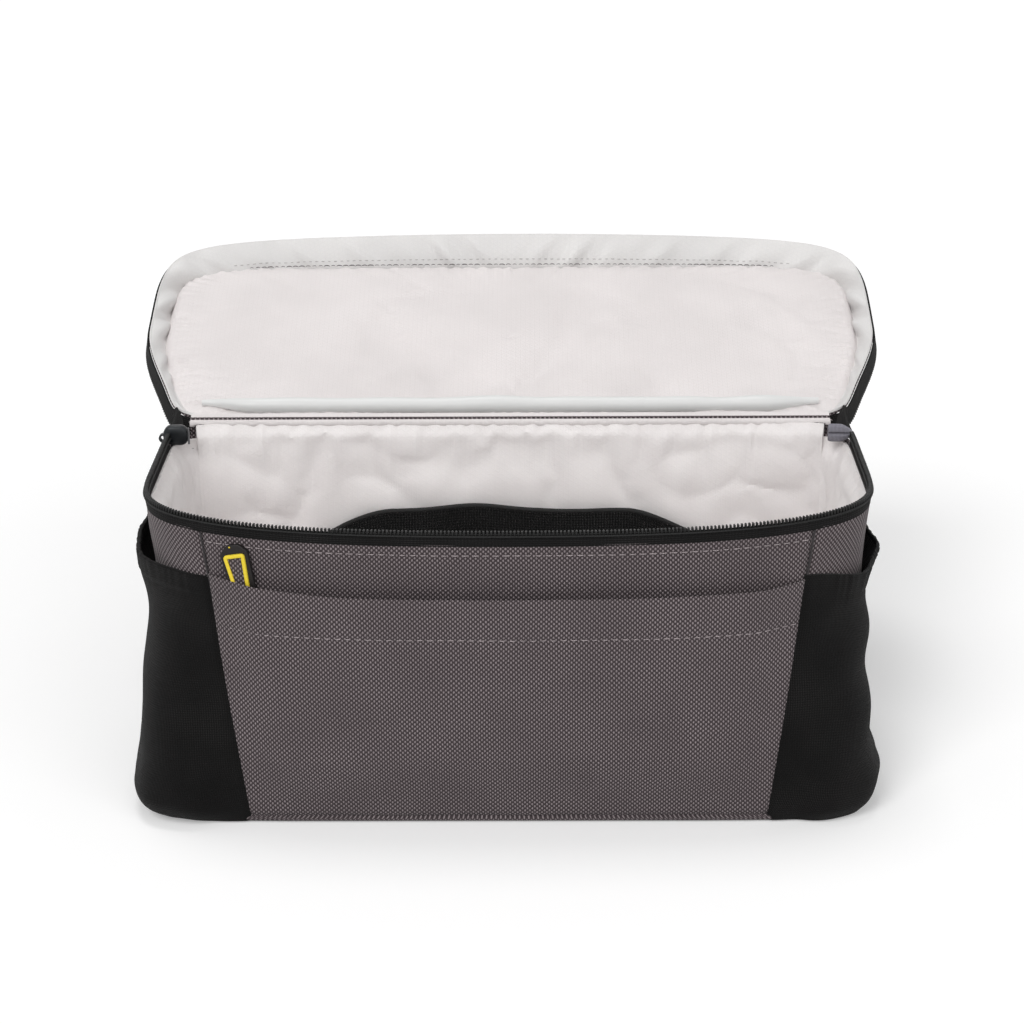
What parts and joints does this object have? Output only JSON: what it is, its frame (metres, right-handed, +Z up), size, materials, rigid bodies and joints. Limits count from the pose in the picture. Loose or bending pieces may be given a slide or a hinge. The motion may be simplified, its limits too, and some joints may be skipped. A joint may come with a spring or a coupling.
{
  "type": "stroller organizer",
  "caption": "Padded fabric caddy with a zipped lid that turns on its back edge, a front slip pocket, stretch side pockets and straps for a handlebar.",
  "frame": {"origin": "on the resting surface, under the middle of the bag itself, at the mount base_rest", "axes": "+Z up, -Y towards the front with the slip pocket, +X to the right seen from the front"},
  "size_m": [0.385, 0.327, 0.2174],
  "materials": {
    "weave": "matt two-tone basket weave",
    "stretch": "fine black stretch knit",
    "elastic": "ribbed black elastic",
    "foam": "closed-cell foam",
    "board": "stiff black sheet",
    "lining": "pale ripstop lining with a soft sheen",
    "binding": "glossy cool grey binding",
    "zip_tape": "matt black tape",
    "zip_coil": "black nylon coil",
    "slider": "satin black paint",
    "folded_tab": "folded grey cloth",
    "tab": "moulded, satin",
    "tab_rim": "moulded, satin",
    "webbing": "black webbing",
    "hook_patch": "hook-and-loop pile"
  },
  "bodies": {
    "bag": {"front_panel": "weave", "back_panel": "weave", "side_panel_left": "weave", "side_panel_right": "weave", "base_panel": "weave", "front_pocket": "weave", "side_pocket_left": "stretch", "side_pocket_right": "stretch", "inner_mesh_pocket": "stretch", "side_elastic_left": "elastic", "side_elastic_right": "elastic", "inner_pocket_elastic": "elastic", "foam_front": "foam", "foam_back": "foam", "foam_side_left": "foam", "foam_side_right": "foam", "base_board": "board", "lining_front": "lining", "lining_back": "lining", "lining_side_left": "lining", "lining_side_right": "lining", "lining_base": "lining", "hinge_strip": "lining", "bag_zip_tape": "zip_tape", "bag_zip_coil": "zip_coil", "zip_slider": "slider", "zip_end_tab": "folded_tab", "front_tab": "tab", "front_tab_rim": "tab_rim", "handlebar_strap_left": "webbing", "handlebar_strap_right": "webbing", "strap_patch_left": "hook_patch", "strap_patch_right": "hook_patch"},
    "lid": {"lid_panel": "weave", "lid_gusset": "weave", "lid_foam": "foam", "lid_lining": "lining", "lid_gusset_lining": "lining", "lid_binding": "binding", "lid_zip_tape": "zip_tape", "lid_zip_coil": "zip_coil"},
    "pull": {"zip_pull": "slider"}
  },
  "joints": [
    {"name": "lid_hinge", "type": "hinge", "parent": "bag", "child": "lid", "pos_m": [0, 0.078, 0.1583], "axis": [1, 0, 0], "range_deg": [0, 160]},
    {"name": "pull_swing", "type": "hinge", "parent": "bag", "child": "pull", "pos_m": [-0.18088, 0.0605, 0.1548], "axis": [0, 1, 0], "range_deg": [0, 120]}
  ]
}
